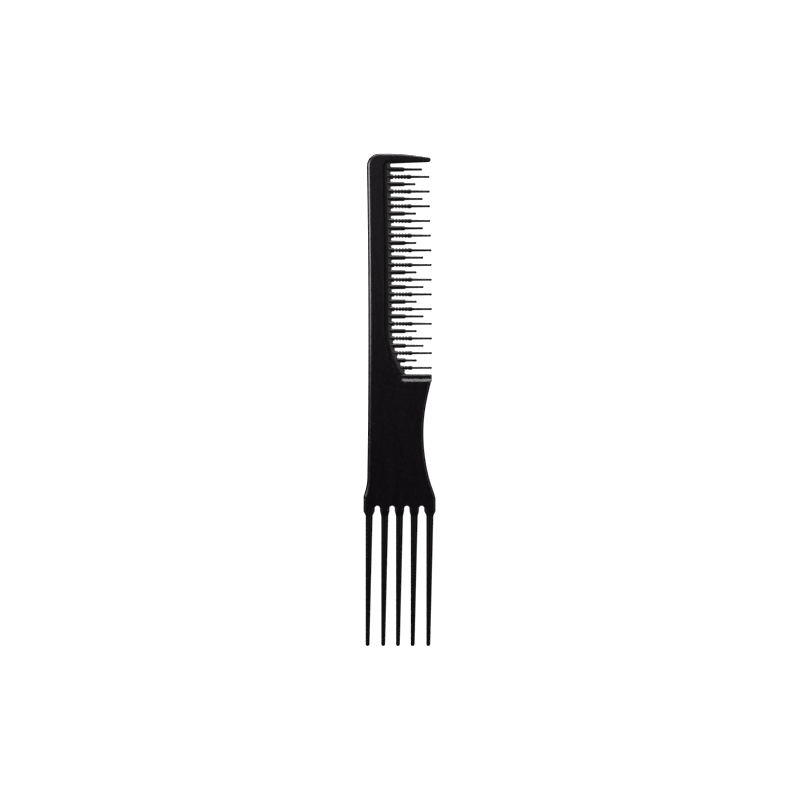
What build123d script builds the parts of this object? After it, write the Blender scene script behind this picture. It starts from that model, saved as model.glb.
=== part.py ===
from build123d import *
import math
import os

# Teasing comb with lift prongs, in millimetres, lying on its back face as it does on a worktop. X runs
# across the comb, towards the tooth tips, and is zero at the middle of the yoke. Y runs along its length,
# towards the guard tooth, and is zero halfway. Z runs up through its thickness from the worktop.
#
# Each sub-part is first drawn standing on its prong tips, because the comb tapers and curves along its
# length: there z is the height above the tips and Y runs through the thickness, with zero at its middle.
# lay_down() then turns it onto its back face. The two faces are alike.

# Overall
LENGTH = 190.0
YOKE_WIDTH = 27.9
BODY_T = 4.4
BED_T = 2.4

# Back edge: a shallow hollow, deepest at BOW_MID, BOW_DEPTH deep at BOW_REACH from there
BACK_X = -12.09
BOW_MID = 120.0
BOW_REACH = 60.0
BOW_DEPTH = 0.5
TOP_CORNER_R = 4.9
BACK_ROUND = 1.3
WAIST_ROUND = 1.0

# Tooth bed: the thin margin that carries the teeth, between the thick back and the gap roots
BACK_TO_ROOT = 9.1
BED_WIDTH = 2.05
BODY_BEVEL = (BODY_T - BED_T) / 2
ROOT_BEVEL_DROP = 0.55
ROOT_BEVEL_RUN = 2.0

# Throat: where the bed curves out to the ledge under the last tooth
THROAT_TOP = 123.0
THROAT_R = 32.0
THROAT_FOOT_R = 1.4
LEDGE_Z = 105.0
LEDGE_X = 12.5
LEDGE_DEPTH = 1.9
LEDGE_ROUND = 0.5
LEDGE_CREST = 0.85

# Handle: waisted on the tooth side, flared at its foot on both sides
WAIST_POINTS = [(11.32, 98.2), (9.83, 90.4), (9.3, 81.2), (10.46, 69.6), (12.17, 62.7), (13.72, 58.1)]
WAIST_FOOT = 56.8
FLARE_TOP = 65.0
YOKE_TOP = 58.0

# Teeth
TOOTH_COUNT = 28
TOOTH_PITCH = 2.833
FIRST_TOOTH_Z = 183.92
TOOTH_W = 1.58
TOOTH_W_STEP = 1.42
THIN_W = 0.80
THIN_W_END = 0.66
STEP_CHAMFER = 0.45
TOOTH_ROOF_SLOPE = 38.0
RIDGE_W = 0.30
TIP_T = 1.3
TIP_R = 0.42
LONG = 15.6
MEDIUM = 12.4
SHORT = 9.75
STEP_LONG = 8.0
STEP_OTHER = 5.45
TIP_RECESS = 0.42
TIP_RECESS_Z = 153.0
TIP_RECESS_RUN = 12.0
FIRST_NOTCH_X = 1.43
SERRATION_PITCH = 1.18
SERRATION_COUNT = 5
SERRATION_DEPTH = 0.25
SERRATION_END_DEPTH = 0.12
SERRATION_R = 0.42

# End guard tooth
GUARD_UNDER_Z = 186.3
GUARD_TIP_X = 12.1
GUARD_TIP_R = 0.92
GUARD_TIP_T = 2.0
GUARD_UNDER_RISE = 1.7
GUARD_TOP_FALL = 9.0
GUARD_ROUND = 0.5

# Fork: arches between the collars, sockets, and the prongs seated in them
PRONG_COUNT = 5
PRONG_PITCH = 5.68
ARCH_W = 1.94
ARCH_TOP = 54.25
COLLAR_FOOT = 50.5
COLLAR_BEVEL_TOP = 52.2
COLLAR_CORNER_R = 1.1
PRONG_D = 2.7
PRONG_TIP_D = 1.5
PRONG_TIP_ROUND = 0.55
COLLAR_LAND = 0.12
SHANK_D = 2.0
SHANK_IN_YOKE = 2.8

YOKE_HALF = YOKE_WIDTH / 2
YOKE_FOOT = ARCH_TOP - ARCH_W / 2
GAP_W = TOOTH_PITCH - TOOTH_W
GAP_R = GAP_W / 2
LEDGE_FOOT = LEDGE_Z - LEDGE_DEPTH
THROAT_BOTTOM = LEDGE_FOOT + 0.9
FAR = 40.0


def back_x(z):
    """The back edge at height z."""
    return BACK_X - BOW_DEPTH * ((z - BOW_MID) / BOW_REACH) ** 2


def root_x(z):
    """The line through the bottoms of the gaps, parallel to the back edge."""
    return back_x(z) + BACK_TO_ROOT


def throat_x(z, inset=0.0):
    """The gap root line with the throat's curve added, or a line that far inside it."""
    if z >= THROAT_TOP:
        return root_x(z) - inset
    drop = THROAT_TOP - z
    centre = root_x(THROAT_TOP) + THROAT_R
    return centre - math.sqrt((THROAT_R + inset) ** 2 - drop**2)


def arc_down(line_x, top, bottom):
    """The gently bowed line line_x(z) between two heights."""
    middle = (top + bottom) / 2
    return ThreePointArc((line_x(top), top), (line_x(middle), middle), (line_x(bottom), bottom))


def tooth_z(number):
    """Height of a tooth's middle, counted from 1 at the guard tooth."""
    return FIRST_TOOTH_Z - TOOTH_PITCH * (number - 1)


def thicken(face, thickness):
    """A face drawn in the X-Z plane, thickened evenly about Y zero."""
    back_plane = Plane.XZ.offset(-thickness / 2)
    return extrude(back_plane * face, amount=thickness, dir=(0, -1, 0))


def plate(edges, thickness):
    """The plate enclosed by edges drawn in the X-Z plane."""
    return thicken(make_face(edges), thickness)


def slab(low_z, high_z):
    """Everything between two heights, for dividing the moulding."""
    return Pos(0, 0, (low_z + high_z) / 2) * Box(2 * FAR, 2 * FAR, high_z - low_z)


def edge_middle(edge):
    """X and Z at the middle of an edge."""
    middle = edge.position_at(0.5)
    return middle.X, middle.Z


def face_rims(solid, thickness, wanted):
    """Rim edges of a plate's two flat faces whose middles satisfy wanted(x, z)."""
    rims = []
    for edge in solid.edges():
        middle = edge.position_at(0.5)
        along_face = abs(edge.tangent_at(0.5).Y) < 1e-6
        if along_face and abs(abs(middle.Y) - thickness / 2) < 1e-6 and wanted(middle.X, middle.Z):
            rims.append(edge)
    return rims


def back_edges():
    """Outline of the back: yoke side, flare, bowed back and rounded top corner, in order."""
    corner_z = LENGTH - TOP_CORNER_R
    corner_x = back_x(corner_z)
    return [
        Line((-YOKE_HALF, YOKE_FOOT), (-YOKE_HALF, YOKE_TOP)),
        Spline(
            (-YOKE_HALF, YOKE_TOP),
            (back_x(FLARE_TOP), FLARE_TOP),
            tangents=((0.35, 1), (0.02, 1)),
        ),
        arc_down(back_x, FLARE_TOP, corner_z),
        RadiusArc((corner_x, corner_z), (corner_x + TOP_CORNER_R, LENGTH), TOP_CORNER_R),
        Line((corner_x + TOP_CORNER_R, LENGTH), (root_x(GUARD_UNDER_Z), LENGTH)),
    ]


def tooth_side_edges():
    """Inner limit of the thick body: under the guard tooth, along the bed, round the throat."""

    def inner(z):
        return throat_x(z, BED_WIDTH)

    shoulder_z = GUARD_UNDER_Z - THROAT_FOOT_R
    turn_x = inner(shoulder_z) + THROAT_FOOT_R
    throat = arc_down(inner, THROAT_TOP, THROAT_BOTTOM)
    foot_start = throat @ 1
    foot_end = (foot_start.X + THROAT_FOOT_R, LEDGE_FOOT)
    return [
        Line((root_x(GUARD_UNDER_Z), GUARD_UNDER_Z), (turn_x, GUARD_UNDER_Z)),
        RadiusArc((inner(shoulder_z), shoulder_z), (turn_x, GUARD_UNDER_Z), THROAT_FOOT_R),
        arc_down(inner, shoulder_z, THROAT_TOP),
        throat,
        Spline((foot_start.X, foot_start.Y), foot_end, tangents=(throat % 1, (1, 0))),
        Line(foot_end, (LEDGE_X, LEDGE_FOOT)),
    ]


def waist_edge():
    """Outline of the handle's tooth side, from under the ledge down to the yoke."""
    return Spline(
        (LEDGE_X, LEDGE_FOOT),
        *WAIST_POINTS,
        (YOKE_HALF, WAIST_FOOT),
        tangents=((-0.24, -1), (0, -1)),
    )


def thick_body():
    """The full-thickness part of the moulding, from the guard tooth down to the arches."""
    guard_root = root_x(GUARD_UNDER_Z)
    edges = back_edges() + tooth_side_edges()
    edges.append(Line((guard_root, LENGTH), (guard_root, GUARD_UNDER_Z)))
    edges.append(waist_edge())
    edges.append(Line((YOKE_HALF, WAIST_FOOT), (YOKE_HALF, YOKE_FOOT)))
    edges.append(Line((YOKE_HALF, YOKE_FOOT), (-YOKE_HALF, YOKE_FOOT)))
    body = plate(edges, BODY_T)

    def beside_bed(x, z):
        between = LEDGE_FOOT - 0.01 < z < GUARD_UNDER_Z + 0.01
        return between and back_x(z) + 3 < x < LEDGE_X - 0.5

    def on_back(x, z):
        return z > YOKE_FOOT + 0.01 and (x < back_x(FLARE_TOP) + 2.5 or z > LENGTH - 0.01)

    def on_waist(x, z):
        return x > WAIST_POINTS[2][0] - 0.1 and YOKE_FOOT + 0.01 < z < LEDGE_FOOT - BODY_BEVEL - 0.05

    body = chamfer(face_rims(body, BODY_T, beside_bed), BODY_BEVEL)
    body = fillet(face_rims(body, BODY_T, on_back), BACK_ROUND)
    return fillet(face_rims(body, BODY_T, on_waist), WAIST_ROUND)


def gap_slot(z, width, root):
    """Cutter for one gap: a round-ended slot that is open towards the tips."""
    radius = width / 2
    straight = Pos(root + radius + FAR / 2, 0, z) * Box(FAR, 2 * BODY_T, width)
    round_end = Pos(root + radius, 0, z) * Rot(90, 0, 0) * Cylinder(radius, 2 * BODY_T)
    return straight + round_end


def gap_slots():
    """Cutters for every gap, from the guard tooth down to the ledge."""
    slots = []
    first_top = FIRST_TOOTH_Z + TOOTH_W / 2
    first_width = GUARD_UNDER_Z - first_top
    slots.append(gap_slot(first_top + first_width / 2, first_width, root_x(first_top)))
    for number in range(1, TOOTH_COUNT):
        z = tooth_z(number) - TOOTH_PITCH / 2
        slots.append(gap_slot(z, GAP_W, throat_x(z)))
    last_under = tooth_z(TOOTH_COUNT) - TOOTH_W / 2
    last_width = last_under - LEDGE_Z
    slots.append(gap_slot(LEDGE_Z + last_width / 2, last_width, throat_x(LEDGE_Z + last_width / 2)))
    return slots


def tooth_bed():
    """The thin margin above the ledge, bevelled on both faces towards the gaps and notched by them."""

    def seat(z):
        return throat_x(z) + GAP_R

    inner_x = back_x(BOW_MID) + 3
    edges = [
        Line((inner_x, GUARD_UNDER_Z), (seat(GUARD_UNDER_Z), GUARD_UNDER_Z)),
        arc_down(seat, GUARD_UNDER_Z, THROAT_TOP),
        arc_down(seat, THROAT_TOP, LEDGE_Z),
        Line((seat(LEDGE_Z), LEDGE_Z), (inner_x, LEDGE_Z)),
        Line((inner_x, LEDGE_Z), (inner_x, GUARD_UNDER_Z)),
    ]
    bed = plate(edges, BED_T)

    def on_seat(x, z):
        return x > root_x(BOW_MID) - 1 and LEDGE_Z + 0.01 < z < GUARD_UNDER_Z - 0.01

    for side in (0, -1):
        face = bed.faces().sort_by(Axis.Y)[side]
        seat_rims = [edge for edge in face.edges() if on_seat(*edge_middle(edge))]
        bed = chamfer(seat_rims, ROOT_BEVEL_RUN, ROOT_BEVEL_DROP, reference=face)
    for slot in gap_slots():
        bed -= slot
    return bed


def ledge():
    """The thin flange under the last gap, with a rounded top edge and outer corner."""
    foot_z = LEDGE_FOOT - BODY_BEVEL
    left = throat_x(LEDGE_Z) - BED_WIDTH - 1
    outline = Polyline((left, foot_z), (left, LEDGE_Z), (LEDGE_X, LEDGE_Z), (LEDGE_X, foot_z), close=True)
    flange = plate(outline.edges(), BED_T)
    corner = flange.edges().filter_by(Axis.Y).group_by(Axis.X)[-1].sort_by(Axis.Z)[-1]
    flange = fillet(corner, LEDGE_ROUND)

    def on_top(x, z):
        return x > left + 0.01 and z > LEDGE_Z - LEDGE_ROUND

    return fillet(face_rims(flange, BED_T, on_top), LEDGE_CREST)


def tooth_kind(number):
    """Even teeth are long. Odd teeth are medium and short in turn."""
    if number % 2 == 0:
        return "long"
    return "medium" if number % 4 == 1 else "short"


def tooth_length(number):
    """Length from the gap root line. The long tips step back a little near the guard tooth."""
    kind = tooth_kind(number)
    if kind != "long":
        return MEDIUM if kind == "medium" else SHORT
    share = (tooth_z(number) - TIP_RECESS_Z) / TIP_RECESS_RUN
    return LONG - TIP_RECESS * min(max(share, 0), 1)


def tooth_outline(length, serrated):
    """A tooth's outline from inside the bed to its beaded tip, drawn about its own middle line."""
    step = STEP_LONG if serrated else STEP_OTHER
    inside = -ROOT_BEVEL_RUN
    end = length - TIP_R
    upper = [
        (inside, TOOTH_W / 2),
        (GAP_R, TOOTH_W / 2),
        (step - STEP_CHAMFER, TOOTH_W_STEP / 2),
        (step, THIN_W / 2),
        (end, THIN_W_END / 2),
    ]
    lower = [(x, -z) for x, z in reversed(upper)]
    outline = make_face(Polyline(*upper, *lower, close=True).edges())
    if serrated:
        for notch in range(SERRATION_COUNT):
            share = notch / (SERRATION_COUNT - 1)
            depth = SERRATION_DEPTH + (SERRATION_END_DEPTH - SERRATION_DEPTH) * share
            x = FIRST_NOTCH_X + SERRATION_PITCH * notch
            for side in (1, -1):
                outline -= Pos(x, side * (TOOTH_W / 2 - depth + SERRATION_R)) * Circle(SERRATION_R)
    return outline + Pos(end, 0) * Circle(TIP_R)


def tooth_roof(length):
    """The ridged upper limit of a tooth, falling towards the tip."""
    flank = TOOTH_W
    fall = (flank - RIDGE_W / 2) * math.tan(math.radians(TOOTH_ROOF_SLOPE))
    ridge_y = BED_T / 2
    section = Polyline(
        (-flank, -FAR / 8),
        (-flank, ridge_y - fall),
        (-RIDGE_W / 2, ridge_y),
        (RIDGE_W / 2, ridge_y),
        (flank, ridge_y - fall),
        (flank, -FAR / 8),
        close=True,
    )
    across = Plane(origin=(-ROOT_BEVEL_RUN, 0, 0), x_dir=(0, 0, 1), z_dir=(-1, 0, 0))
    prism = extrude(across * make_face(section.edges()), amount=-(LONG + 6))
    angle = math.degrees(math.atan((BED_T - TIP_T) / 2 / (length + ROOT_BEVEL_RUN)))
    hinge = Pos(-ROOT_BEVEL_RUN, ridge_y, 0)
    return hinge * Rot(0, 0, -angle) * hinge.inverse() * prism


def tooth(number, bed):
    """One tooth, ridged on both faces, seated on the bed's land."""
    length = tooth_length(number)
    z = tooth_z(number)
    blank = thicken(tooth_outline(length, tooth_kind(number) == "long"), BED_T)
    roof = tooth_roof(length)
    shape = blank & roof & mirror(roof, about=Plane.XZ)
    placed = Pos(root_x(z), 0, z) * shape
    rest = placed - bed
    return rest.solids().sort_by(Axis.X)[-1]


def guard_tooth():
    """The stout end tooth, flush with the body at its root and thinning to a round tip."""
    root = root_x(GUARD_UNDER_Z)
    rise = math.radians(GUARD_UNDER_RISE)
    fall = math.radians(GUARD_TOP_FALL)
    tip_x = GUARD_TIP_X - GUARD_TIP_R
    under_x = tip_x + GUARD_TIP_R * math.sin(rise)
    under_z = GUARD_UNDER_Z + (under_x - root) * math.tan(rise)
    tip_z = under_z + GUARD_TIP_R * math.cos(rise)
    upper_x = tip_x + GUARD_TIP_R * math.sin(fall)
    upper_z = tip_z + GUARD_TIP_R * math.cos(fall)
    edges = [
        Spline((root, LENGTH), (upper_x, upper_z), tangents=((1, 0), (math.cos(fall), -math.sin(fall)))),
        ThreePointArc((upper_x, upper_z), (GUARD_TIP_X, tip_z), (under_x, under_z)),
        Line((under_x, under_z), (root, GUARD_UNDER_Z)),
        Line((root, GUARD_UNDER_Z), (root, LENGTH)),
    ]
    wedge = Polyline(
        (root, -BODY_T / 2),
        (root, BODY_T / 2),
        (GUARD_TIP_X, GUARD_TIP_T / 2),
        (GUARD_TIP_X, -GUARD_TIP_T / 2),
        close=True,
    )
    tapered = plate(edges, BODY_T) & extrude(Plane.XY * make_face(wedge.edges()), amount=LENGTH + 5)
    rims = []
    for edge in tapered.edges():
        middle = edge.position_at(0.5)
        if middle.X > root + 0.01 and abs(middle.Y) > GUARD_TIP_T / 2 - 0.01:
            rims.append(edge)
    return fillet(rims, GUARD_ROUND)


def collar_span(index):
    """Left and right sides of a collar, counted from 0 at the back."""
    middle = (index - (PRONG_COUNT - 1) / 2) * PRONG_PITCH
    left = -YOKE_HALF if index == 0 else middle - (PRONG_PITCH - ARCH_W) / 2
    right = YOKE_HALF if index == PRONG_COUNT - 1 else middle + (PRONG_PITCH - ARCH_W) / 2
    return left, right


def collar_middle(index):
    """Middle of a collar, and of the prong that it holds."""
    left, right = collar_span(index)
    return (left + right) / 2


def collar(index):
    """One collar: a round-cornered socket, bevelled down to the prong that it holds."""
    left, right = collar_span(index)
    width = right - left
    middle = collar_middle(index)
    inset = (width - PRONG_D) / 2 - COLLAR_LAND
    section = RectangleRounded(width, BODY_T, COLLAR_CORNER_R)
    mouth = RectangleRounded(width - 2 * inset, BODY_T - 2 * inset, COLLAR_CORNER_R - inset)
    bevel_base = Pos(middle, 0, COLLAR_BEVEL_TOP) * section
    straight = extrude(bevel_base, amount=YOKE_FOOT - COLLAR_BEVEL_TOP)
    bevelled = loft([bevel_base, Pos(middle, 0, COLLAR_FOOT) * mouth])
    socket = Pos(middle, 0, COLLAR_FOOT) * Cylinder(SHANK_D / 2, 3 * (YOKE_FOOT - COLLAR_FOOT))
    return straight + bevelled - socket


def prong(index):
    """One lift prong: hidden shank, then a taper whose back flank stays parallel to the comb."""
    middle = collar_middle(index)
    lean = (PRONG_D - PRONG_TIP_D) / 2
    root = Plane(origin=(middle, 0, COLLAR_FOOT)) * Circle(PRONG_D / 2)
    tip = Plane(origin=(middle - lean, 0, 0)) * Circle(PRONG_TIP_D / 2)
    blade = loft([root, tip])
    rim = blade.edges().sort_by(Axis.Z)[0]
    blade = fillet(rim, PRONG_TIP_ROUND)
    depth = YOKE_FOOT + SHANK_IN_YOKE - COLLAR_FOOT
    shank = Pos(middle, 0, COLLAR_FOOT + depth / 2) * Cylinder(SHANK_D / 2, depth)
    return blade + shank


def yoke(body):
    """The cross bar: the foot of the moulding, arched between the collars and bored for the shanks."""
    bar = body & slab(YOKE_FOOT - 1, YOKE_TOP)
    for index in range(PRONG_COUNT - 1):
        arch_x = (index - (PRONG_COUNT - 2) / 2) * PRONG_PITCH
        bar -= Pos(arch_x, 0, YOKE_FOOT) * Rot(90, 0, 0) * Cylinder(ARCH_W / 2, 2 * BODY_T)
    for index in range(PRONG_COUNT):
        bore = Cylinder(SHANK_D / 2, 2 * SHANK_IN_YOKE)
        bar -= Pos(collar_middle(index), 0, YOKE_FOOT) * bore
    return bar


def single(shape):
    """The one solid that a sub-part consists of."""
    solids = shape.solids()
    if len(solids) != 1:
        raise ValueError(f"expected one solid, found {len(solids)}")
    return solids[0]


def lay_down(shape):
    """A sub-part that was drawn standing, turned onto its back face and centred along its length."""
    return Pos(0, -LENGTH / 2, BODY_T / 2) * Rot(-90, 0, 0) * shape


def main():
    """Builds every sub-part and writes it to parts/NAME.step."""
    os.makedirs("parts", exist_ok=True)
    body = thick_body()
    bed = tooth_bed()
    parts = {
        "spine": (body & slab(LEDGE_Z, LENGTH + 1)) + bed,
        "end_guard_tooth": guard_tooth(),
        "handle": (body & slab(YOKE_TOP, LEDGE_Z)) + ledge(),
        "fork_yoke": yoke(body),
    }
    for number in range(1, TOOTH_COUNT + 1):
        parts[f"tooth_{number:02d}_{tooth_kind(number)}"] = tooth(number, parts["spine"])
    for index in range(PRONG_COUNT):
        parts[f"prong_collar_{index + 1}"] = collar(index)
        parts[f"lift_prong_{index + 1}"] = prong(index)
    for name, shape in parts.items():
        export_step(lay_down(single(shape)), f"parts/{name}.step")


main()
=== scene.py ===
"""Finishes and studio stage for a moulded teasing comb with lift prongs, lying on its back face.

Lengths are in metres. X runs across the comb towards the tooth tips, Y along it towards the guard
tooth, and Z up through its thickness from the worktop.
"""

import math

import bmesh
import bpy
from mathutils import Matrix, Vector


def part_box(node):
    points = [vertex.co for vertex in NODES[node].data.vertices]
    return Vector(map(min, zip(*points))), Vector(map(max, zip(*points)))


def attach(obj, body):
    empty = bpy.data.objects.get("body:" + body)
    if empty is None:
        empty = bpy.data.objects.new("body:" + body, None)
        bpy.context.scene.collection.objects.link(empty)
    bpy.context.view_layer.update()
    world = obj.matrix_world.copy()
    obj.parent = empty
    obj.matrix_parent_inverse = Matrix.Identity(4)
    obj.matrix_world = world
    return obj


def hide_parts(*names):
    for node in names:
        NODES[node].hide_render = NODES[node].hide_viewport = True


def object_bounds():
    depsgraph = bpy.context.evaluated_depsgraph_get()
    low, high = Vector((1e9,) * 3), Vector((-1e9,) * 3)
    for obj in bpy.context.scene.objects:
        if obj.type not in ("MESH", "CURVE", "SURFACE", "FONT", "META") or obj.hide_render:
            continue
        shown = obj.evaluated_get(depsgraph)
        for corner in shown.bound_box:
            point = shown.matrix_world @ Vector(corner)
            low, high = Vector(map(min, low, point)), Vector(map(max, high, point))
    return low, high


bl_info = {
    "name": "Teasing Comb",
    "version": (1, 0, 0),
    "blender": (4, 5, 0),
    "location": "3D View > Sidebar > Comb",
    "description": "Black moulded teasing comb with lift prongs on a plain studio stage",
    "category": "Object",
}

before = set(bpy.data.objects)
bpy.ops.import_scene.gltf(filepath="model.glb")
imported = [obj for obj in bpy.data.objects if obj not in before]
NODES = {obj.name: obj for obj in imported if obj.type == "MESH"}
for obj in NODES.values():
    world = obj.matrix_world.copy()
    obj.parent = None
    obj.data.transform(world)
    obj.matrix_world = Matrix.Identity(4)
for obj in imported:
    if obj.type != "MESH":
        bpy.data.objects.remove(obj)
CAD_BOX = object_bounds()
MM = 0.001
INSET = 0.002 * MM  # keeps the guard tooth within the CAD box
FLOOR_GAP = 0.02 * MM  # keeps the floor and the comb's back face from sharing a plane
MIDDLE_OFFSET = 0.2 * MM  # how far towards the tooth tips the camera stands from the comb's middle
SMOOTH_ANGLE = math.radians(38)  # flatter edges than this are shaded smooth

MOULDED_BODY = ("spine", "handle", "fork_yoke")
TEETH = sorted(name for name in NODES if name.startswith("tooth_"))
COLLARS = sorted(name for name in NODES if name.startswith("prong_collar_"))
PRONGS = sorted(name for name in NODES if name.startswith("lift_prong_"))

# Planes where two members of the one moulding meet, which must not show as edges
LEDGE_SEAM_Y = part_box("spine")[0].y
YOKE_SEAM_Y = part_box("handle")[0].y
COLLAR_SEAM_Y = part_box("fork_yoke")[0].y
GUARD_SEAM_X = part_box("end_guard_tooth")[0].x
MID_Z = (CAD_BOX[0].z + CAD_BOX[1].z) / 2


# Sizes and colours that a user would change


class CombFinish(bpy.types.PropertyGroup):
    """Colours and surface of the black plastic."""

    body_colour: bpy.props.FloatVectorProperty(
        name="Body Colour",
        description="Colour of the moulded body where it is deepest",
        subtype="COLOR",
        size=3,
        min=0,
        max=1,
        default=(0.0030, 0.0019, 0.0030),
    )
    bloom_colour: bpy.props.FloatVectorProperty(
        name="Bloom Colour",
        description="Slightly milky colour where the plastic flowed last and where it is rubbed",
        subtype="COLOR",
        size=3,
        min=0,
        max=1,
        default=(0.0062, 0.0042, 0.0062),
    )
    prong_colour: bpy.props.FloatVectorProperty(
        name="Prong Colour",
        description="Colour of the lift prongs",
        subtype="COLOR",
        size=3,
        min=0,
        max=1,
        default=(0.0060, 0.0044, 0.0062),
    )
    prong_specular: bpy.props.FloatProperty(
        name="Prong Specular",
        description="Specular level of the lift prongs, which reflect less than the body",
        subtype="FACTOR",
        min=0,
        max=1,
        default=0.32,
    )
    gloss_roughness: bpy.props.FloatProperty(
        name="Gloss Roughness",
        description="Roughness of the glossiest plastic",
        min=0.05,
        max=1,
        default=0.20,
    )
    satin_roughness: bpy.props.FloatProperty(
        name="Satin Roughness",
        description="Roughness of the dullest plastic",
        min=0.05,
        max=1,
        default=0.31,
    )
    grain_size: bpy.props.FloatProperty(
        name="Grain Size",
        description="Size of the fine grain that the mould leaves",
        subtype="DISTANCE",
        unit="LENGTH",
        min=0.00001,
        default=0.22 * MM,
    )
    grain_depth: bpy.props.FloatProperty(
        name="Grain Depth",
        description="Depth of the grain and the shrink ripple together",
        subtype="DISTANCE",
        unit="LENGTH",
        min=0,
        default=0.003 * MM,
    )


def length(name, description, millimetres):
    """A length setting, given in millimetres."""
    return bpy.props.FloatProperty(
        name=name,
        description=description,
        subtype="DISTANCE",
        unit="LENGTH",
        min=0,
        default=millimetres * MM,
    )


class CombTeeth(bpy.types.PropertyGroup):
    """Sizes of the fine teeth, the guard tooth and the prongs.

    Places along a fine tooth are measured from the bottoms of the gaps.
    """

    long_length: length("Long Length", "Length of a long tooth", 15.6)
    medium_length: length("Medium Length", "Length of a medium tooth", 12.4)
    short_length: length("Short Length", "Length of a short tooth", 9.75)
    long_shoulder: length("Long Shoulder", "Where a long tooth steps down to its fine end", 8.0)
    low_shoulder: length("Low Shoulder", "Where a medium or short tooth steps down to its fine end", 5.45)
    root_width: length("Root Width", "Width of a tooth at its root", 1.76)
    shoulder_width: length("Shoulder Width", "Width of a tooth just before its shoulder", 1.70)
    fine_width: length("Fine Width", "Width of the fine end beyond the shoulder", 1.02)
    end_width: length("End Width", "Width of the fine end just before its bead", 0.92)
    bead_width: length("Bead Width", "Width of the bead on the tip", 1.04)
    root_thickness: length("Root Thickness", "Thickness of a tooth where it leaves the bed", 2.4)
    tip_thickness: length("Tip Thickness", "Thickness of a tooth at its tip", 1.3)
    bed_overlap: length("Bed Overlap", "How far a tooth runs into the bed", 2.0)
    shoulder_slope: length("Shoulder Slope", "Length of the slope on either side of the shoulder", 0.36)
    flank_round: length("Flank Round", "Rounding of a tooth's flanks at its root", 0.62)
    notch_pitch: length("Notch Pitch", "Distance between the notches of a long tooth", 1.18)
    first_notch: length("First Notch", "Where the first notch of a long tooth is", 1.43)
    notch_width: length("Notch Width", "Width of a notch at its mouth", 0.78)
    notch_depth: length("Notch Depth", "Depth of the first notch, the last being half as deep", 0.43)
    guard_tip: length("Guard Tip Thickness", "Thickness of the guard tooth at its tip", 2.0)
    guard_tip_radius: length("Guard Tip Radius", "Radius of the guard tooth's tip seen from above", 0.92)
    guard_crown: length("Guard Crown", "Rounding of the guard tooth's outer edges", 1.3)
    guard_heel: length("Guard Heel", "Rounding of the guard tooth's edges next to the gap", 0.5)
    prong_width: length("Prong Width", "Width of a lift prong where it leaves its collar", 2.86)
    prong_end: length("Prong End", "Width of a lift prong just before its round tip", 1.68)
    guard_rise: bpy.props.FloatProperty(
        name="Guard Rise",
        description="Angle at which the guard tooth's edge on the gap leans away from the fine teeth",
        subtype="ANGLE",
        default=math.radians(1.7),
    )
    notches: bpy.props.IntProperty(
        name="Notches",
        description="Number of notches on each side of a long tooth",
        min=0,
        default=5,
    )


class CombStage(bpy.types.PropertyGroup):
    """Floor, camera and lights."""

    floor_colour: bpy.props.FloatVectorProperty(
        name="Floor Colour",
        description="Colour of the plain floor",
        subtype="COLOR",
        size=3,
        min=0,
        max=1,
        default=(0.80, 0.80, 0.80),
    )
    floor_glow: bpy.props.FloatProperty(
        name="Floor Glow",
        description="Brightness of the floor as the camera sees it",
        min=0,
        default=1.1,
    )
    floor_side: bpy.props.FloatProperty(
        name="Floor Side",
        description="Side of the square floor",
        subtype="DISTANCE",
        unit="LENGTH",
        default=8.0,
    )
    lens: bpy.props.FloatProperty(
        name="Lens",
        description="Focal length of the camera in millimetres",
        min=20,
        default=85.0,
    )
    framed_width: bpy.props.FloatProperty(
        name="Framed Width",
        description="Width that the camera takes in at the comb",
        subtype="DISTANCE",
        unit="LENGTH",
        default=308.56 * MM,
    )
    back_light: bpy.props.FloatProperty(
        name="Back Light",
        description="Brightness of the soft box above the comb's back",
        min=0,
        default=15.0,
    )
    end_light: bpy.props.FloatProperty(
        name="End Light",
        description="Brightness of the low strip beyond the guard tooth",
        min=0,
        default=17.0,
    )
    end_panel_light: bpy.props.FloatProperty(
        name="End Panel Light",
        description="Brightness of the panel that stands above the low strip",
        min=0,
        default=2.2,
    )
    sky_light: bpy.props.FloatProperty(
        name="Sky Light",
        description="Brightness of the wide dim panel overhead, towards the guard tooth",
        min=0,
        default=0.12,
    )
    fill_light: bpy.props.FloatProperty(
        name="Fill Light",
        description="Brightness of the weak light on the tooth side",
        min=0,
        default=1.0,
    )


# Node helpers


def add_node(tree, kind, **settings):
    """A new node of that kind, with attributes set and, by the names of sockets, input values."""
    node = tree.nodes.new(kind)
    values = settings.pop("inputs", {})
    for name, value in settings.items():
        setattr(node, name, value)
    for name, value in values.items():
        node.inputs[name].default_value = value
    return node


def noise(tree, vector, size, detail=2.0, roughness=0.5, distortion=0.0):
    """Cloudy noise whose blobs are about that size."""
    node = add_node(
        tree,
        "ShaderNodeTexNoise",
        inputs={"Scale": 1 / size, "Detail": detail, "Roughness": roughness, "Distortion": distortion},
    )
    tree.links.new(vector, node.inputs["Vector"])
    return node.outputs["Fac"]


def math_node(tree, operation, first, second=None):
    """Result of one arithmetic step. The arguments are sockets or numbers."""
    node = add_node(tree, "ShaderNodeMath", operation=operation)
    for socket, value in zip(node.inputs, (first, second)):
        if isinstance(value, bpy.types.NodeSocket):
            tree.links.new(value, socket)
        elif value is not None:
            socket.default_value = value
    return node.outputs[0]


def weighted(tree, first, second):
    """Sum of two sockets, each given with its weight."""
    parts = [math_node(tree, "MULTIPLY", socket, weight) for socket, weight in (first, second)]
    return math_node(tree, "ADD", *parts)


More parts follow.
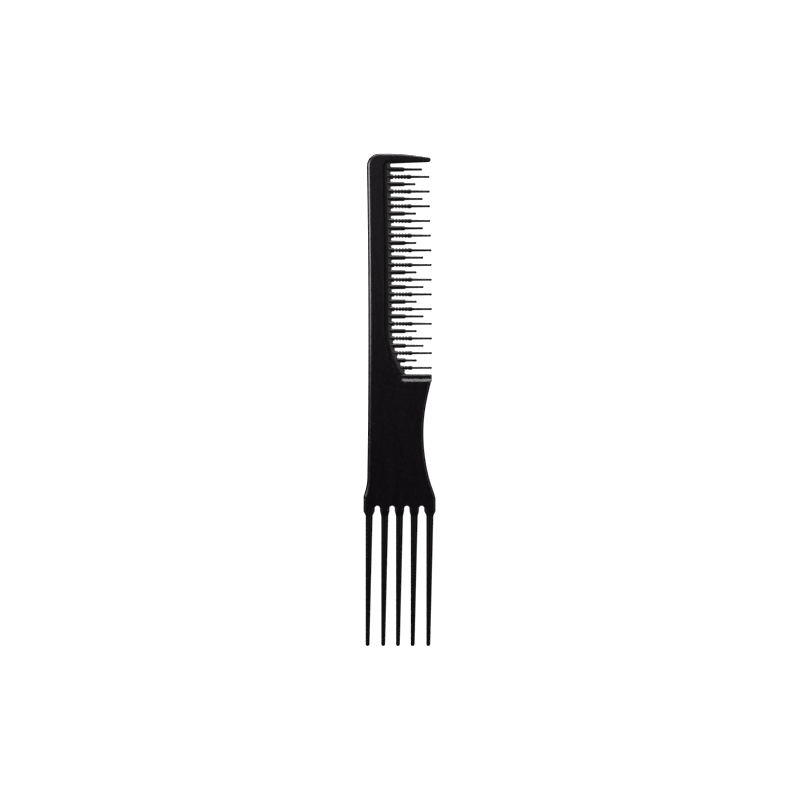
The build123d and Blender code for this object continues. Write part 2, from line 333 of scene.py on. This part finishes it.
def ramp(tree, value, low, high, to_low=0.0, to_high=1.0):
    """Value between low and high, spread evenly and clamped to the new range."""
    node = add_node(
        tree,
        "ShaderNodeMapRange",
        inputs={"From Min": low, "From Max": high, "To Min": to_low, "To Max": to_high},
    )
    tree.links.new(value, node.inputs["Value"])
    return node.outputs["Result"]


def stretched(tree, vector, scale, turn=0.0):
    """Coordinates scaled along each axis and turned about Z."""
    node = add_node(tree, "ShaderNodeMapping", inputs={"Scale": scale, "Rotation": (0, 0, turn)})
    tree.links.new(vector, node.inputs["Vector"])
    return node.outputs["Vector"]


def new_group(name, inputs, outputs):
    """An empty shader group and its two ends. Its sockets are numbers, apart from a Normal."""
    tree = bpy.data.node_groups.new(name, "ShaderNodeTree")
    for label, default in inputs:
        socket = tree.interface.new_socket(label, in_out="INPUT", socket_type="NodeSocketFloat")
        socket.default_value = default
    for label in outputs:
        kind = "NodeSocketVector" if label.endswith("Normal") else "NodeSocketFloat"
        tree.interface.new_socket(label, in_out="OUTPUT", socket_type=kind)
    return tree, tree.nodes.new("NodeGroupInput"), tree.nodes.new("NodeGroupOutput")


def mould_skin_group():
    """The skin that a steel mould leaves: grain, shrink ripple, flow bloom and a parting line."""
    name = "Mould Skin"
    if name in bpy.data.node_groups:
        return bpy.data.node_groups[name]
    tree, given, made = new_group(
        name,
        (("Grain Scale", 4500.0), ("Ripple Share", 0.5)),
        ("Height", "Bloom", "Dullness"),
    )
    place = add_node(tree, "ShaderNodeTexCoord").outputs["Object"]
    grain_node = add_node(tree, "ShaderNodeTexNoise", inputs={"Detail": 3.0, "Roughness": 0.6})
    tree.links.new(place, grain_node.inputs["Vector"])
    tree.links.new(given.outputs["Grain Scale"], grain_node.inputs["Scale"])
    grain = grain_node.outputs["Fac"]
    ripple = noise(tree, place, 3.2 * MM, detail=1.0)
    along = stretched(tree, place, (1.0, 0.22, 1.0))
    flow = noise(tree, along, 9 * MM, detail=4.0, roughness=0.55, distortion=0.9)
    cloud = noise(tree, place, 1.4 * MM, detail=3.0, roughness=0.6)

    mix = add_node(tree, "ShaderNodeMix", data_type="FLOAT")
    tree.links.new(given.outputs["Ripple Share"], mix.inputs["Factor"])
    tree.links.new(grain, mix.inputs[2])
    tree.links.new(ripple, mix.inputs[3])
    axes = add_node(tree, "ShaderNodeSeparateXYZ")
    tree.links.new(place, axes.inputs[0])
    off_middle = math_node(tree, "ABSOLUTE", math_node(tree, "SUBTRACT", axes.outputs["Z"], MID_Z))
    parting = ramp(tree, off_middle, 0.02 * MM, 0.07 * MM, 4.0, 0.0)
    tree.links.new(math_node(tree, "ADD", mix.outputs[0], parting), made.inputs["Height"])

    bloom = weighted(tree, (flow, 0.72), (cloud, 0.28))
    tree.links.new(ramp(tree, bloom, 0.36, 0.66), made.inputs["Bloom"])
    dull = weighted(tree, (cloud, 0.5), (grain, 0.5))
    tree.links.new(ramp(tree, dull, 0.34, 0.66), made.inputs["Dullness"])
    return tree


# Hairline scratches: turn about Z, width in millimetres, scale along Y, level above which noise shows
SCRATCH_LAYERS = (
    (0.05, 0.10, 0.012, 0.665),
    (-0.09, 0.16, 0.020, 0.69),
    (1.35, 0.12, 0.016, 0.71),
)


def handling_wear_group():
    """Marks of use: hairline scratches, and edges rubbed round by hair and hands."""
    name = "Handling Wear"
    if name in bpy.data.node_groups:
        return bpy.data.node_groups[name]
    tree, given, made = new_group(
        name,
        (("Edge Radius", 0.35 * MM), ("Scratch Amount", 1.0)),
        ("Scratches", "Rubbed Edge", "Rounded Normal"),
    )
    place = add_node(tree, "ShaderNodeTexCoord").outputs["Object"]
    layers = []
    for turn, width, scale_y, level in SCRATCH_LAYERS:
        drawn_out = stretched(tree, place, (1.0, scale_y, 1.0), turn)
        lines = ramp(tree, noise(tree, drawn_out, width * MM, detail=1.0), level, level + 0.05)
        patch = ramp(tree, noise(tree, place, 6 * MM * (1 + abs(turn)), detail=2.0), 0.45, 0.62)
        layers.append(math_node(tree, "MULTIPLY", lines, patch))
    scratches = math_node(tree, "MAXIMUM", math_node(tree, "MAXIMUM", layers[0], layers[1]), layers[2])
    amount = math_node(tree, "MULTIPLY", scratches, given.outputs["Scratch Amount"])
    tree.links.new(amount, made.inputs["Scratches"])

    rounded = add_node(tree, "ShaderNodeBevel", samples=4)
    tree.links.new(given.outputs["Edge Radius"], rounded.inputs["Radius"])
    true_normal = add_node(tree, "ShaderNodeNewGeometry").outputs["Normal"]
    dot = add_node(tree, "ShaderNodeVectorMath", operation="DOT_PRODUCT")
    tree.links.new(rounded.outputs["Normal"], dot.inputs[0])
    tree.links.new(true_normal, dot.inputs[1])
    turned = math_node(tree, "SUBTRACT", 1.0, dot.outputs["Value"])
    edge = ramp(tree, turned, 0.01, 0.16)
    off_seam = 1.0  # falls to 0 at a seam between members, where no edge exists
    axes = add_node(tree, "ShaderNodeSeparateXYZ")
    tree.links.new(place, axes.inputs[0])
    for axis, seam in (("Y", LEDGE_SEAM_Y), ("Y", YOKE_SEAM_Y), ("Y", COLLAR_SEAM_Y), ("X", GUARD_SEAM_X)):
        away = math_node(tree, "ABSOLUTE", math_node(tree, "SUBTRACT", axes.outputs[axis], seam))
        off_seam = math_node(tree, "MULTIPLY", ramp(tree, away, 0.35 * MM, 0.7 * MM), off_seam)
    blend = add_node(tree, "ShaderNodeMix", data_type="VECTOR")
    tree.links.new(off_seam, blend.inputs["Factor"])
    tree.links.new(true_normal, blend.inputs[4])
    tree.links.new(rounded.outputs["Normal"], blend.inputs[5])
    tree.links.new(blend.outputs[1], made.inputs["Rounded Normal"])
    edge = math_node(tree, "MULTIPLY", edge, off_seam)
    breakup = ramp(tree, noise(tree, place, 0.9 * MM, detail=3.0), 0.38, 0.62, 0.25, 1.0)
    tree.links.new(math_node(tree, "MULTIPLY", edge, breakup), made.inputs["Rubbed Edge"])
    return tree


def plastic(name, finish, deep, fineness, relief, ripple_share, scratch_amount, edge_radius):
    """Black moulded plastic whose colour, gloss and relief change over the surface.

    Fineness and relief multiply the finish's grain: how fine it is and how deep.
    """
    material = bpy.data.materials.new(name)
    material.use_nodes = True
    tree = material.node_tree
    shader = tree.nodes["Principled BSDF"]
    shader.inputs["IOR"].default_value = 1.52

    skin = add_node(tree, "ShaderNodeGroup", node_tree=mould_skin_group())
    skin.inputs["Grain Scale"].default_value = fineness / finish.grain_size
    skin.inputs["Ripple Share"].default_value = ripple_share
    wear = add_node(tree, "ShaderNodeGroup", node_tree=handling_wear_group())
    wear.inputs["Edge Radius"].default_value = edge_radius
    wear.inputs["Scratch Amount"].default_value = scratch_amount

    rubbed = math_node(tree, "MULTIPLY", wear.outputs["Rubbed Edge"], 0.6)
    scuffed = math_node(tree, "MULTIPLY", wear.outputs["Scratches"], 0.8)
    pale = math_node(tree, "MAXIMUM", math_node(tree, "MAXIMUM", skin.outputs["Bloom"], rubbed), scuffed)
    colour = add_node(tree, "ShaderNodeMix", data_type="RGBA")
    colour.inputs[6].default_value = (*deep, 1)
    colour.inputs[7].default_value = (*finish.bloom_colour, 1)
    tree.links.new(pale, colour.inputs["Factor"])
    tree.links.new(colour.outputs[2], shader.inputs["Base Color"])

    dull = math_node(tree, "ADD", math_node(tree, "MULTIPLY", skin.outputs["Dullness"], 0.6), scuffed)
    polish = math_node(tree, "MULTIPLY", wear.outputs["Rubbed Edge"], 0.5)
    sheen = math_node(tree, "SUBTRACT", dull, polish)
    roughness = ramp(tree, sheen, 0.0, 1.0, finish.gloss_roughness, finish.satin_roughness)
    tree.links.new(roughness, shader.inputs["Roughness"])

    cut = math_node(tree, "MULTIPLY", wear.outputs["Scratches"], 0.4)
    height = math_node(tree, "SUBTRACT", skin.outputs["Height"], cut)
    depth = relief * finish.grain_depth
    bump = add_node(tree, "ShaderNodeBump", inputs={"Strength": 1.0, "Distance": depth})
    tree.links.new(height, bump.inputs["Height"])
    tree.links.new(wear.outputs["Rounded Normal"], bump.inputs["Normal"])
    tree.links.new(bump.outputs["Normal"], shader.inputs["Normal"])
    return material


def finish_nodes(names, material):
    """Gives CAD nodes their finish."""
    for name in names:
        node = NODES[name]
        node.data.materials.clear()
        node.data.materials.append(material)


# Modelling helpers


def pick(piece, test):
    """Selects, in edit mode, the vertices whose places pass the test."""
    bpy.ops.mesh.select_mode(type="VERT")
    bpy.ops.mesh.select_all(action="DESELECT")
    mesh = bmesh.from_edit_mesh(piece.data)
    for vertex in mesh.verts:
        vertex.select = test(vertex.co)
    mesh.select_flush_mode()
    bmesh.update_edit_mesh(piece.data)


def start_face(name, section):
    """A flat face across X, in edit mode and selected.

    A section is (x, y, half width, half thickness).
    """
    x, y, wide, thick = section
    bpy.ops.object.select_all(action="DESELECT")
    bpy.ops.mesh.primitive_plane_add(size=2, location=(x, y, MID_Z), rotation=(0, math.pi / 2, 0))
    piece = bpy.context.object
    piece.name = name
    bpy.ops.object.transform_apply(location=True, rotation=True, scale=True)
    bpy.ops.object.mode_set(mode="EDIT")
    bpy.ops.mesh.select_all(action="SELECT")
    bpy.ops.transform.resize(value=(1, wide, thick), center_override=(x, y, MID_Z))
    return piece


def round_corners(piece, test, radius, segments, profile=0.5):
    """Rounds the corners of the flat face whose places pass the test."""
    pick(piece, test)
    bpy.ops.mesh.bevel(offset=radius, segments=segments, profile=profile, affect="VERTICES")


def draw_out(sections):
    """Extrudes the flat face from the first section through the others, and closes the skin."""
    bpy.ops.mesh.select_mode(type="FACE")
    bpy.ops.mesh.select_all(action="SELECT")
    for last, section in zip(sections, sections[1:]):
        x, y, wide, thick = section
        bpy.ops.mesh.extrude_region_move(TRANSFORM_OT_translate={"value": (x - last[0], y - last[1], 0)})
        bpy.ops.transform.resize(value=(1, wide / last[2], thick / last[3]), center_override=(x, y, MID_Z))
    close_skin()


def close_skin():
    """Merges stray doubles, turns the faces outward and leaves edit mode with smooth flanks."""
    bpy.ops.mesh.select_all(action="SELECT")
    bpy.ops.mesh.remove_doubles(threshold=0.001 * MM)
    bpy.ops.mesh.normals_make_consistent(inside=False)
    bpy.ops.object.mode_set(mode="OBJECT")
    bpy.ops.object.shade_smooth_by_angle(angle=SMOOTH_ANGLE)


def stand_for(piece, node, material):
    """Puts the piece in a CAD node's place, with its finish."""
    piece.data.materials.clear()
    piece.data.materials.append(material)
    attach(piece, "root")
    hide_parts(node)


def copy_of(master, name, shift):
    """A copy of the master with its own mesh, moved by the shift."""
    piece = master.copy()
    piece.data = master.data.copy()
    piece.name = piece.data.name = name
    bpy.context.scene.collection.objects.link(piece)
    piece.data.transform(Matrix.Translation(shift))
    return piece


class COMB_OT_body(bpy.types.Operator):
    """Finish the moulded back, handle, cross bar and collars"""

    bl_idname = "comb.body"
    bl_label = "Finish Body"

    def execute(self, context):
        finish = context.scene.comb_finish
        material = plastic(
            "Moulded Body",
            finish,
            deep=finish.body_colour,
            fineness=1.0,
            relief=1.0,
            ripple_share=0.55,
            scratch_amount=0.8,
            edge_radius=0.3 * MM,
        )
        finish_nodes((*MOULDED_BODY, *COLLARS), material)
        return {"FINISHED"}


def notch_sections(sizes, x, depth, half_width):
    """Sections (x, half width) through one notch on both sides of a tooth."""
    reach = sizes.notch_width / 2
    steps = 3  # to either side of the notch's deepest place
    for step in range(-steps, steps + 1):
        share = step / steps
        yield x + share * reach, half_width - depth * math.sqrt(1 - share**2)


def tooth_sections(sizes, kind):
    """Sections of a tooth, whose gap root is at x = 0, from inside the bed to its beaded tip.

    The bead's neck and the step at the shoulder follow from the bead's and the shoulder's widths.
    """
    end = {"long": sizes.long_length, "medium": sizes.medium_length, "short": sizes.short_length}[kind]
    shoulder = sizes.long_shoulder if kind == "long" else sizes.low_shoulder
    buried = -sizes.bed_overlap
    slope = sizes.shoulder_slope
    full, before = sizes.root_width / 2, sizes.shoulder_width / 2
    bead = sizes.bead_width / 2
    widths = [(buried, full), (0.5 * MM, full)]
    for notch in range(sizes.notches if kind == "long" else 0):
        x = sizes.first_notch + sizes.notch_pitch * notch
        half_width = full + (before - full) * x / shoulder
        depth = sizes.notch_depth * (1 - 0.5 * notch / max(sizes.notches - 1, 1))
        widths.extend(notch_sections(sizes, x, depth, half_width))
    widths.append((shoulder - slope, before))
    widths.append((shoulder - 0.55 * slope, 0.9 * before))
    widths.append((shoulder, sizes.fine_width / 2))
    widths.append((shoulder + slope, sizes.fine_width / 2 - 0.01 * MM))
    widths.append((end - 2.6 * bead, sizes.end_width / 2))
    widths.append((end - 1.5 * bead, 0.94 * bead))
    widths.append((end - bead, bead))

    def thickness(x):
        share = (x - buried) / (end - buried)
        return (sizes.root_thickness + (sizes.tip_thickness - sizes.root_thickness) * share) / 2

    sections = [(x, 0, half_width, thickness(x)) for x, half_width in widths]
    for degrees in (22, 42, 60, 76):
        turn = math.radians(degrees)
        x = end - bead + bead * math.sin(turn)
        sections.append((x, 0, bead * math.cos(turn), thickness(x) - bead * (1 - math.cos(turn))))
    return sections


def tooth_master(sizes, kind):
    """One tooth of that kind at the origin, to be copied."""
    sections = tooth_sections(sizes, kind)
    piece = start_face(f"{kind}_master", sections[0])
    round_corners(piece, lambda place: True, sizes.flank_round, segments=5, profile=0.36)
    draw_out(sections)
    return piece


def tooth_root(number, sizes):
    """Where a tooth's gap root is. A long tooth takes the middle of its neighbours'."""
    name = TEETH[number]
    if name.endswith("_long"):
        beside = [near for near in (number - 1, number + 1) if near < len(TEETH)]
        return sum(tooth_root(near, sizes) for near in beside) / len(beside)
    reach = sizes.medium_length if name.endswith("_medium") else sizes.short_length
    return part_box(name)[1].x - reach


class COMB_OT_teeth(bpy.types.Operator):
    """Model the fine teeth: long ones notched for back-combing, medium ones and short ones"""

    bl_idname = "comb.teeth"
    bl_label = "Model Teeth"

    def execute(self, context):
        finish = context.scene.comb_finish
        material = plastic(
            "Moulded Teeth",
            finish,
            deep=finish.body_colour,
            fineness=1.3,
            relief=0.6,
            ripple_share=0.35,
            scratch_amount=0.5,
            edge_radius=0.15 * MM,
        )
        sizes = context.scene.comb_teeth
        masters = {kind: tooth_master(sizes, kind) for kind in ("long", "medium", "short")}
        for number, name in enumerate(TEETH):
            kind = name.rsplit("_", 1)[1]
            low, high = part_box(name)
            root = tooth_root(number, sizes)
            piece = copy_of(masters[kind], f"moulded_{name}", (root, (low.y + high.y) / 2, 0))
            beyond = high.x - max(corner.co.x for corner in piece.data.vertices)
            for corner in piece.data.vertices:  # the fine end takes up what the CAD tooth is longer
                if corner.co.x > root + sizes.long_shoulder + MM:
                    corner.co.x += beyond
            stand_for(piece, name, material)
        for master in masters.values():
            bpy.data.objects.remove(master)
        return {"FINISHED"}


def guard_sections(sizes):
    """Sections of the guard tooth from its root to its round tip.

    The outer edge falls slowly from the back's corner, and faster towards the tip.
    """
    low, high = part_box("end_guard_tooth")
    tip_radius = sizes.guard_tip_radius
    run = high.x - tip_radius - low.x
    rise = run * math.tan(sizes.guard_rise)
    drop = high.y - low.y - rise - 2 * tip_radius
    steps = 24

    def thickness(x):
        share = (x - low.x) / (high.x - low.x)
        return (high.z - low.z + (sizes.guard_tip - (high.z - low.z)) * share) / 2 - INSET

    sections = []
    for step in range(steps + 1):
        share = step / steps
        x = low.x + run * share
        under = low.y + rise * share
        over = high.y - INSET - drop * (1.35 * share**2 - 0.35 * share**3)
        sections.append((x, (under + over) / 2, (over - under) / 2, thickness(x)))
    middle, half = sections[-1][1], sections[-1][2]
    for degrees in (15, 30, 45, 58, 70, 80):
        turn = math.radians(degrees)
        x = low.x + run + tip_radius * math.sin(turn)
        pinch = 0.45 * tip_radius * (1 - math.cos(turn))
        sections.append((x, middle, half * math.cos(turn), thickness(x) - pinch))
    return sections


class COMB_OT_guard(bpy.types.Operator):
    """Model the stout guard tooth at the end of the comb"""

    bl_idname = "comb.guard"
    bl_label = "Model Guard Tooth"

    def execute(self, context):
        sizes = context.scene.comb_teeth
        sections = guard_sections(sizes)
        middle = sections[0][1]
        heel = sizes.guard_heel
        piece = start_face("moulded_guard_tooth", sections[0])
        round_corners(piece, lambda place: place.y > middle, sizes.guard_crown, segments=8)
        round_corners(piece, lambda place: place.y < middle - heel, heel, segments=4)
        draw_out(sections)
        stand_for(piece, "end_guard_tooth", bpy.data.materials["Moulded Body"])
        return {"FINISHED"}


def prong_rings(sizes):
    """Rings (x, y, radius) of a lift prong whose collar's middle is at x = 0.

    Its flank on the comb's back side stays parallel to Y, and the other one leans in.
    """
    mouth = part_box(COLLARS[0])[0].y
    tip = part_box(PRONGS[0])[0].y
    wide, fine = sizes.prong_width / 2, sizes.prong_end / 2
    lean = fine - wide
    round_start = tip + fine
    rings = [(0, mouth + 0.2 * MM, wide)]
    steps = 12
    for step in range(steps + 1):
        share = step / steps
        rings.append((lean * share, mouth + (round_start - mouth) * share, wide + lean * share))
    for degrees in (18, 36, 52, 66, 78, 86):
        turn = math.radians(degrees)
        rings.append((lean, round_start - fine * math.sin(turn), fine * math.cos(turn)))
    return rings


def prong_master(sizes):
    """One lift prong in line with the origin, to be copied."""
    rings = prong_rings(sizes)
    x, y, radius = rings[0]
    bpy.ops.object.select_all(action="DESELECT")
    bpy.ops.mesh.primitive_circle_add(
        vertices=48, radius=radius, fill_type="NGON", location=(x, y, MID_Z), rotation=(math.pi / 2, 0, 0)
    )
    piece = bpy.context.object
    piece.name = "prong_master"
    bpy.ops.object.transform_apply(location=True, rotation=True, scale=True)
    bpy.ops.object.mode_set(mode="EDIT")
    bpy.ops.mesh.select_mode(type="FACE")
    bpy.ops.mesh.select_all(action="SELECT")
    for last, (x, y, radius) in zip(rings, rings[1:]):
        bpy.ops.mesh.extrude_region_move(TRANSFORM_OT_translate={"value": (x - last[0], y - last[1], 0)})
        taper = radius / last[2]
        bpy.ops.transform.resize(value=(taper, 1, taper), center_override=(x, y, MID_Z))
    close_skin()
    return piece


class COMB_OT_prongs(bpy.types.Operator):
    """Model the tapered lift prongs"""

    bl_idname = "comb.prongs"
    bl_label = "Model Prongs"

    def execute(self, context):
        finish = context.scene.comb_finish
        material = plastic(
            "Lift Prong",
            finish,
            deep=finish.prong_colour,
            fineness=1.0,
            relief=0.7,
            ripple_share=0.3,
            scratch_amount=1.0,
            edge_radius=0.2 * MM,
        )
        shader = material.node_tree.nodes["Principled BSDF"]
        shader.inputs["Specular IOR Level"].default_value = finish.prong_specular
        master = prong_master(context.scene.comb_teeth)
        for name in PRONGS:
            low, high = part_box(name)
            piece = copy_of(master, f"moulded_{name}", ((low.x + high.x) / 2, 0, 0))
            stand_for(piece, name, material)
        bpy.data.objects.remove(master)
        return {"FINISHED"}


# Stage


def make_floor(stage):
    """A wide pale floor just under the comb. The camera sees it evenly lit."""
    bpy.ops.object.select_all(action="DESELECT")
    under = CAD_BOX[0].z - FLOOR_GAP
    bpy.ops.mesh.primitive_plane_add(size=stage.floor_side, location=(0, 0, under))
    floor = bpy.context.object
    floor.name = "floor"
    floor.visible_glossy = False
    material = bpy.data.materials.new("Pale Floor")
    material.use_nodes = True
    tree = material.node_tree
    shader = tree.nodes["Principled BSDF"]
    shader.inputs["Base Color"].default_value = (*stage.floor_colour, 1)
    shader.inputs["Roughness"].default_value = 0.9
    shader.inputs["Specular IOR Level"].default_value = 0.0
    shader.inputs["Emission Color"].default_value = (1, 1, 1, 1)
    seen = add_node(tree, "ShaderNodeLightPath").outputs["Is Camera Ray"]
    tree.links.new(math_node(tree, "MULTIPLY", seen, stage.floor_glow), shader.inputs["Emission Strength"])
    floor.data.materials.append(material)


def make_camera(stage):
    """A camera straight above the comb, with the guard tooth at the top of the picture."""
    low, high = CAD_BOX
    centre = (low + high) / 2
    data = bpy.data.cameras.new("camera")
    data.lens = stage.lens
    camera = bpy.data.objects.new("camera", data)
    bpy.context.scene.collection.objects.link(camera)
    distance = stage.framed_width * data.lens / data.sensor_width
    camera.location = (centre.x + MIDDLE_OFFSET, centre.y, centre.z + distance)
    bpy.context.scene.camera = camera


def soft_box(name, place, aim, width, height, brightness):
    """A rectangular soft light, unseen by the camera."""
    data = bpy.data.lights.new(name, "AREA")
    data.shape = "RECTANGLE"
    data.size = width
    data.size_y = height
    data.energy = brightness * math.pi * width * height
    lamp = bpy.data.objects.new(name, data)
    bpy.context.scene.collection.objects.link(lamp)
    lamp.location = place
    lamp.rotation_euler = (Vector(aim) - Vector(place)).to_track_quat("-Z", "Y").to_euler()
    lamp.visible_camera = False


def make_world():
    """A dim room: dark below and overhead, paler a little above the horizon. The camera sees white."""
    below, band, overhead = 0.01, 0.16, 0.008
    world = bpy.data.worlds.new("room")
    bpy.context.scene.world = world
    world.use_nodes = True
    tree = world.node_tree
    axes = add_node(tree, "ShaderNodeSeparateXYZ")
    tree.links.new(add_node(tree, "ShaderNodeTexCoord").outputs["Generated"], axes.inputs[0])
    rising = ramp(tree, axes.outputs["Z"], -0.10, 0.22, below, band)
    falling = ramp(tree, axes.outputs["Z"], 0.35, 0.85, band, overhead)
    level = math_node(tree, "MINIMUM", rising, falling)
    seen = add_node(tree, "ShaderNodeLightPath").outputs["Is Camera Ray"]
    tree.links.new(math_node(tree, "MAXIMUM", level, seen), tree.nodes["Background"].inputs["Strength"])
    tree.nodes["Background"].inputs["Color"].default_value = (1, 1, 1, 1)


def lamp_places():
    """Place, aim, width and height of each soft box, in metres, under its setting's name."""
    top = CAD_BOX[1].y
    return {
        "back_light": ((-0.277, top + 0.055, 0.355), (0, top + 0.055, 0), 0.20, 0.19),
        "end_light": ((0, top + 0.42, 0.065), (0, top, 0.01), 0.60, 0.08),
        "end_panel_light": ((0, top + 0.36, 0.20), (0, top, 0.01), 0.60, 0.20),
        "sky_light": ((0, top + 0.19, 0.62), (0, top + 0.19, 0), 0.50, 0.43),
        "fill_light": ((0.26, 0.6 * top, 0.36), (0, 0.3 * top, 0), 0.30, 0.16),
    }


class COMB_OT_stage(bpy.types.Operator):
    """Build the floor, the lights and the camera"""

    bl_idname = "comb.stage"
    bl_label = "Build Stage"

    def execute(self, context):
        stage = context.scene.comb_stage
        context.scene.view_settings.view_transform = "Standard"
        make_floor(stage)
        make_world()
        make_camera(stage)
        for lamp, (place, aim, width, height) in lamp_places().items():
            soft_box(lamp, place, aim, width, height, getattr(stage, lamp))
        return {"FINISHED"}


class COMB_PT_panel(bpy.types.Panel):
    """Sidebar panel that lists the steps."""

    bl_label = "Teasing Comb"
    bl_space_type = "VIEW_3D"
    bl_region_type = "UI"
    bl_category = "Comb"

    def draw(self, context):
        for operator in OPERATORS:
            self.layout.operator(operator.bl_idname)
        scene = context.scene
        for settings in (scene.comb_finish, scene.comb_teeth, scene.comb_stage):
            for name in settings.__annotations__:
                self.layout.prop(settings, name)


OPERATORS = (COMB_OT_body, COMB_OT_guard, COMB_OT_teeth, COMB_OT_prongs, COMB_OT_stage)
CLASSES = (CombFinish, CombTeeth, CombStage, *OPERATORS, COMB_PT_panel)


def register():
    """Registers the classes and hangs the settings on the scene."""
    for item in CLASSES:
        bpy.utils.register_class(item)
    bpy.types.Scene.comb_finish = bpy.props.PointerProperty(type=CombFinish)
    bpy.types.Scene.comb_teeth = bpy.props.PointerProperty(type=CombTeeth)
    bpy.types.Scene.comb_stage = bpy.props.PointerProperty(type=CombStage)


def unregister():
    """Takes the settings and the classes away again."""
    del bpy.types.Scene.comb_stage
    del bpy.types.Scene.comb_teeth
    del bpy.types.Scene.comb_finish
    for item in reversed(CLASSES):
        bpy.utils.unregister_class(item)


def main():
    """Runs every step in order."""
    register()
    bpy.ops.comb.body()
    bpy.ops.comb.guard()
    bpy.ops.comb.teeth()
    bpy.ops.comb.prongs()
    bpy.ops.comb.stage()


if __name__ == "__main__":
    main()
